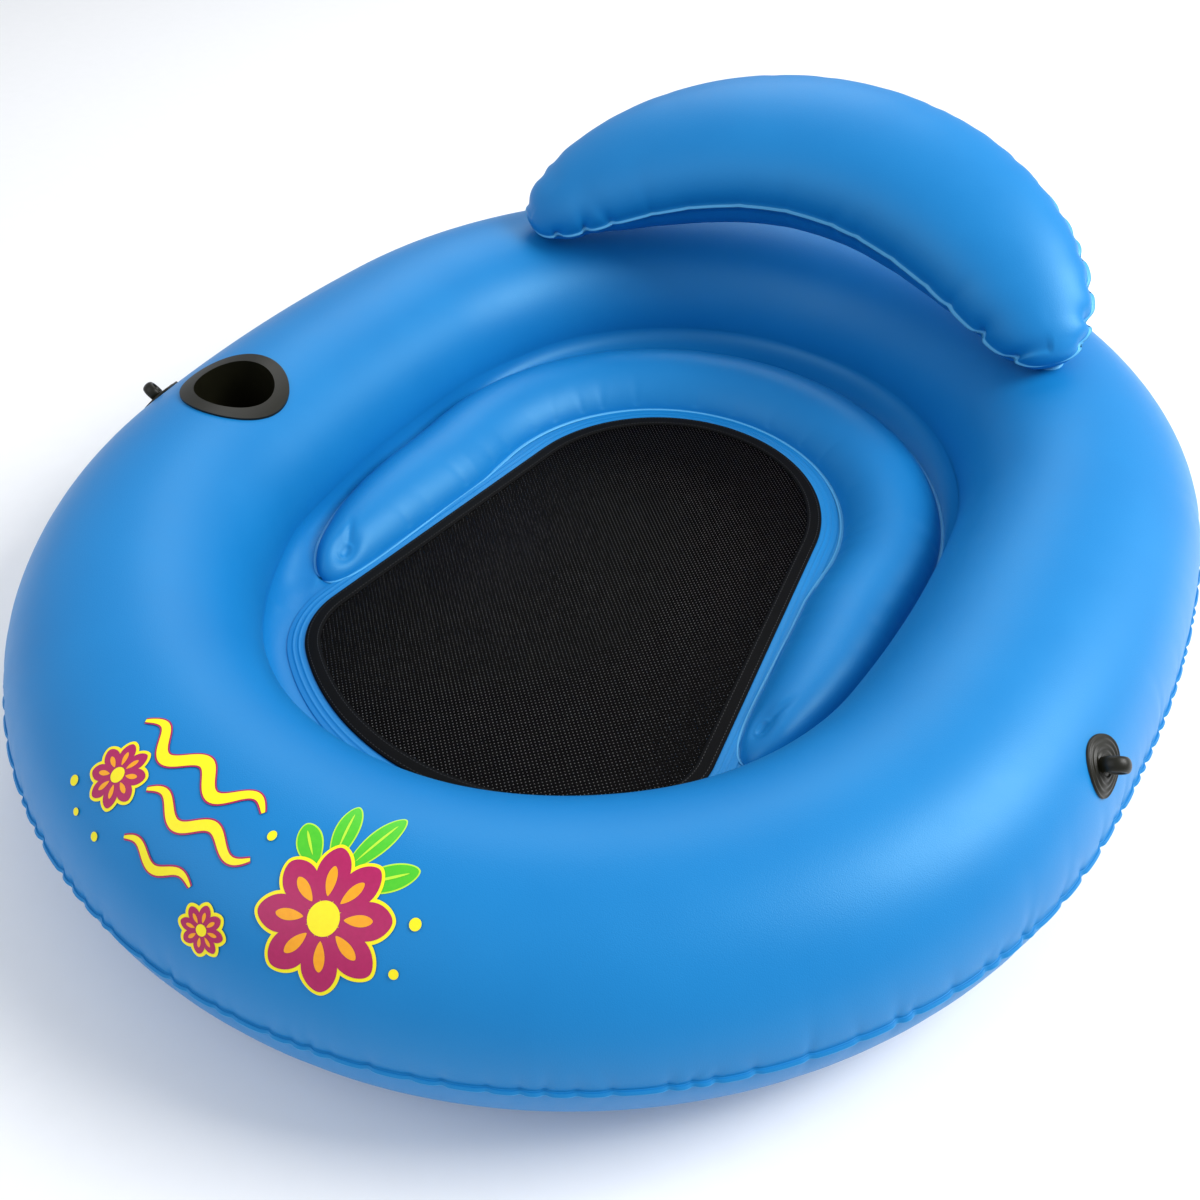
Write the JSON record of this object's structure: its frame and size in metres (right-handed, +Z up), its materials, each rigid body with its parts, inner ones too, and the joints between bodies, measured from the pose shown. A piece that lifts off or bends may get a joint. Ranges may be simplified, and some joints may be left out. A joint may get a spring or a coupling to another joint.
{
  "type": "inflatable pool float",
  "caption": "Oval inflatable pool float with a mesh seat, a horseshoe bolster, a raised crescent pillow, a moulded cup holder and rope eyelets.",
  "frame": {"origin": "on the ground, under the middle of the ring", "axes": "+Y from the sitter's feet towards the pillow, +X to the sitter's left, +Z up"},
  "size_m": [1.172, 1.4074, 0.4181],
  "materials": {
    "vinyl_film": "satin calendered vinyl film, welded",
    "seat_mesh": "vinyl-coated polyester mesh",
    "binding_tape": "woven polyester binding tape",
    "moulded_vinyl": "injection-moulded soft vinyl, satin",
    "valve_vinyl": "translucent moulded soft vinyl"
  },
  "bodies": {
    "float": {"ring_top_panel": "vinyl_film", "ring_bottom_panel": "vinyl_film", "seat_deck_sheet": "vinyl_film", "seat_weld_band": "vinyl_film", "bolster_top_panel": "vinyl_film", "mesh_seat_panel": "seat_mesh", "mesh_binding_tape": "binding_tape", "cup_holder": "moulded_vinyl", "rope_eyelet_right": "moulded_vinyl", "rope_eyelet_left": "moulded_vinyl", "ring_valve_body": "valve_vinyl", "bolster_valve_body": "valve_vinyl", "pillow_tab_right": "vinyl_film", "pillow_tab_left": "vinyl_film"},
    "pillow": {"pillow_top_panel": "vinyl_film", "pillow_bottom_panel": "vinyl_film", "pillow_valve_body": "valve_vinyl"},
    "ring_plug": {"ring_valve_plug": "valve_vinyl"},
    "ring_flap": {"ring_valve_flap": "valve_vinyl"},
    "bolster_plug": {"bolster_valve_plug": "valve_vinyl"},
    "bolster_flap": {"bolster_valve_flap": "valve_vinyl"},
    "pillow_plug": {"pillow_valve_plug": "valve_vinyl"},
    "pillow_flap": {"pillow_valve_flap": "valve_vinyl"}
  },
  "joints": [
    {"name": "pillow_lean", "type": "hinge", "parent": "float", "child": "pillow", "pos_m": [0, 0.378, 0.218], "axis": [-1, 0, 0], "range_deg": [-2, 16], "stiffness_Nm_per_rad": 14},
    {"name": "ring_plug_strap", "type": "hinge", "parent": "float", "child": "ring_plug", "pos_m": [0.21691, 0.62768, 0.03758], "axis": [-0.2458, -0.6083, -0.7547], "range_deg": [0, 150]},
    {"name": "ring_flap_hinge", "type": "hinge", "parent": "float", "child": "ring_flap", "pos_m": [0.20695, 0.6201, 0.04693], "axis": [0.2458, 0.6083, 0.7547], "range_deg": [0, 55], "stiffness_Nm_per_rad": 0.002, "springref_deg": -17.19},
    {"name": "bolster_plug_strap", "type": "hinge", "parent": "float", "child": "bolster_plug", "pos_m": [-0.013, 0.35, 0.0565], "axis": [0, 1, 0], "range_deg": [0, 150]},
    {"name": "bolster_flap_hinge", "type": "hinge", "parent": "float", "child": "bolster_flap", "pos_m": [-0.0066, 0.35, 0.07075], "axis": [0, -1, 0], "range_deg": [0, 55], "stiffness_Nm_per_rad": 0.002, "springref_deg": -17.19},
    {"name": "pillow_plug_strap", "type": "hinge", "parent": "pillow", "child": "pillow_plug", "pos_m": [0.11787, 0.55654, 0.33294], "axis": [0.2391, 0.5614, 0.7922], "range_deg": [0, 150]},
    {"name": "pillow_flap_hinge", "type": "hinge", "parent": "pillow", "child": "pillow_flap", "pos_m": [0.12232, 0.54372, 0.34068], "axis": [-0.2391, -0.5614, -0.7922], "range_deg": [0, 55], "stiffness_Nm_per_rad": 0.002, "springref_deg": -17.19}
  ]
}
